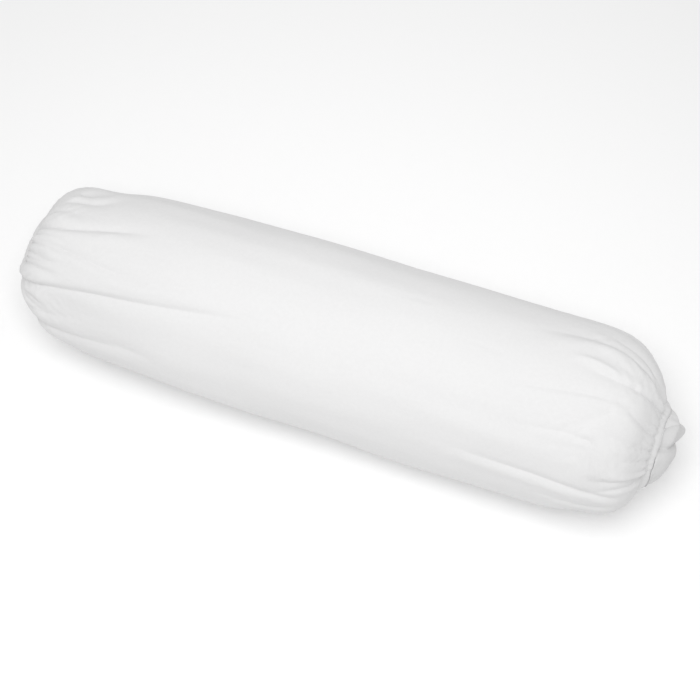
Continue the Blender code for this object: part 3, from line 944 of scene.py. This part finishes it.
def make_case_tube(case, material):
    """The case's tube between its two end seams."""
    rows = np.unique([case.left, *range(case.left + 3, case.right - 2, 4), case.right])
    body = pressed(case.face[rows])
    made = grid_object("inner_case", body)
    u = (case.angles[rows] - SEAM_ANGLE).reshape(-1) * BODY_RADIUS
    cloth_map(made, u, np.repeat(case.s[rows], body.shape[1]), GIRTH)
    thickened(made, CASE_THICKNESS)
    place_piece(made, material, "case_cotton", "inner_case_body")


def make_end_panel(made, panel, material, node):
    """Finishes a round end panel: its map, its thickness and what it was cut to."""
    panel_map(made, panel)
    thickened(made, CASE_THICKNESS)
    place_piece(made, material, "case_cotton", node)


def make_right_panel(case, material):
    """The right end panel, from its seam, under the hem and round its fold, to the tip of the puff."""
    last_row = len(case.s) - 1
    rows = np.unique([*range(case.right, last_row, 2), last_row])
    face = [case.face[rows], neck_rows(*case.right_rim, 4), puff_rows(*case.right_rim, 64)]
    panel = pressed(np.concatenate(face))
    made = grid_object("inner_end_right", panel, end_tip=panel[-1].mean(axis=0))
    make_end_panel(made, panel, material, "inner_case_end_right")


def make_left_panel(case, material):
    """The left end panel, from the middle of its dome to its seam."""
    rows = np.unique([3, *range(case.left, 3, -2)])[::-1]
    face = [case.face[rows], left_dome_rows(*case.left_rim, 40)]
    panel = pressed(np.concatenate(face))[::-1]
    made = grid_object("inner_end_left", panel, start_tip=panel[0].mean(axis=0))
    make_end_panel(made, panel, material, "inner_case_end_left")


def make_fibre(cloth, case, material):
    """The fibre inside the case, a closed and slightly lumpy body that fills it from dome to puff."""
    last_row = len(case.s) - 1
    rows = np.unique([0, *range(4, last_row, 4), last_row])[1:-1]
    s, angles = case.s[rows], case.angles[rows]
    random = np.random.default_rng(5)
    lumps = 0.0006 + 0.0004 * waves(s, angles, 24, 120, (6, 22), random)
    height = cloth.lowest[rows][:, EVERY_SECOND] - (case.depths[rows] + CASE_THICKNESS + 0.0012)[:, None]
    tube = over_outline(s[:, None], height - np.maximum(lumps, 0), angles)
    puff = puff_rows(*case.right_rim, 24)
    centre = np.array([mouth_fold(1)[0] - 0.004, 0, AXIS_HEIGHT])
    puff = centre + (puff - centre) * 0.93
    dome = left_dome_rows(*case.left_rim, 12)
    dome[..., 0] += 0.003
    middle = np.array([0, 0, AXIS_HEIGHT])
    dome = middle + (dome - middle) * np.array([1, 0.9, 0.9])
    rows = np.concatenate([dome[::-1], tube, puff])
    made = grid_object("fibre", pressed(rows), start_tip=rows[0].mean(axis=0), end_tip=rows[-1].mean(axis=0))
    place_piece(made, material, "polyester_fibre", "fibre_fill")


def make_inner_pillow(cloth, cotton_material, thread, fibre):
    """The case's tube and its two end panels, the fibre inside, and the stitches that join the panels."""
    case = Case(cloth)
    make_case_tube(case, cotton_material)
    make_right_panel(case, cotton_material)
    make_left_panel(case, cotton_material)
    make_fibre(cloth, case, fibre)
    for end, row in (("left", case.left), ("right", case.right)):
        depth = float(case.depths[row]) + 0.0026
        node = "inner_end_thread_" + end
        ring_stitches("end_stitches_" + end, cloth, case.s[row], depth, SEAM_STITCH, thread, node)
    ends = case.s[case.left] + 0.004, case.s[case.right] - 0.004
    line_stitches("case_stitches", cloth, ends, 0.0034, CASE_SEAM_ANGLE, thread, "inner_side_thread")


# ---- camera, light and floor
CAMERA_AZIMUTH, CAMERA_ELEVATION = math.radians(19), math.radians(63.8)
CAMERA_DISTANCE = 1.080
AIM_X, AIM_LEFT, AIM_DOWN = 0.0107, 0.0058, 0.0020


def make_camera():
    """A camera that looks down at the pillow from its front, aimed near its middle."""
    sin_a, cos_a = math.sin(CAMERA_AZIMUTH), math.cos(CAMERA_AZIMUTH)
    sin_e, cos_e = math.sin(CAMERA_ELEVATION), math.cos(CAMERA_ELEVATION)
    back = np.array([sin_a * cos_e, -cos_a * cos_e, sin_e])
    right = np.array([cos_a, sin_a, 0])
    up = np.cross(back, right)
    aim = np.array([AIM_X, 0, AXIS_HEIGHT]) - AIM_LEFT * right - AIM_DOWN * up
    data = bpy.data.cameras.new("camera")
    data.lens, data.sensor_width = 56.57, 36
    made = bpy.data.objects.new("camera", data)
    made.location = aim + CAMERA_DISTANCE * back
    made.rotation_euler = (math.pi / 2 - CAMERA_ELEVATION, 0, CAMERA_AZIMUTH)
    bpy.context.scene.collection.objects.link(made)
    bpy.context.scene.camera = made


def make_light(name, place, size, power, towards):
    """A round soft light at a place, turned towards another."""
    data = bpy.data.lights.new(name, "AREA")
    data.shape, data.size, data.energy = "DISK", size, power
    made = bpy.data.objects.new(name, data)
    way = np.array(place) - np.array(towards)
    made.location = place
    made.rotation_euler = (math.acos(way[2] / np.linalg.norm(way)), 0, math.atan2(way[0], -way[1]))
    bpy.context.scene.collection.objects.link(made)


def make_studio():
    """An even white surround, one soft light from the front and above, and a pale floor."""
    world = bpy.data.worlds.new("studio")
    bpy.context.scene.world = world
    world.use_nodes = True
    background = world.node_tree.nodes["Background"]
    background.inputs["Color"].default_value = (1, 1, 1, 1)
    background.inputs["Strength"].default_value = 0.68
    make_light("soft box", (0.05, -0.35, 1.2), 0.6, 7, (0, 0, 0.09))
    bpy.ops.mesh.primitive_plane_add(size=12)
    floor = bpy.context.object
    floor.name = "floor"
    pale = Finish("pale floor", (0.98, 0.98, 0.98), 0.9, 0)
    pale.sockets["Specular IOR Level"].default_value = 0
    floor.data.materials.append(pale.material)
    bpy.context.scene.view_settings.view_transform = "Standard"


make_camera()
make_studio()
thread = twisted_thread()
cloth = Cloth()
elastic = ribbed_elastic()
length = MERIDIAN.length
left_line, right_line, side_seam = STITCH_LINE, length - STITCH_LINE, (0.02, length - 0.02)
on_cover = [
    make_elastic(cloth, -1, elastic),
    make_elastic(cloth, 1, elastic),
    ring_stitches("hem_stitches_left", cloth, left_line, 0.0, HEM_STITCH, thread, "cover_hem_thread_left"),
    ring_stitches("hem_stitches_right", cloth, right_line, 0.0, HEM_STITCH, thread, "cover_hem_thread_right"),
    line_stitches("side_stitches", cloth, side_seam, 0.0009, SEAM_ANGLE, thread, "cover_side_thread"),
]
make_cover(cloth, cotton("cover cotton", (0.74, 0.738, 0.739), 0.0005, 0.035))
# The case's cotton is greyer than the cover's. A little of that is the case cloth's own tone, and the rest is
# painted shade that darkens the puff standing out of the right mouth.
case_cotton = cotton("case cotton", (0.68, 0.678, 0.679), 0.0004, 0.035)
make_inner_pillow(cloth, case_cotton, thread, loose_fibre())
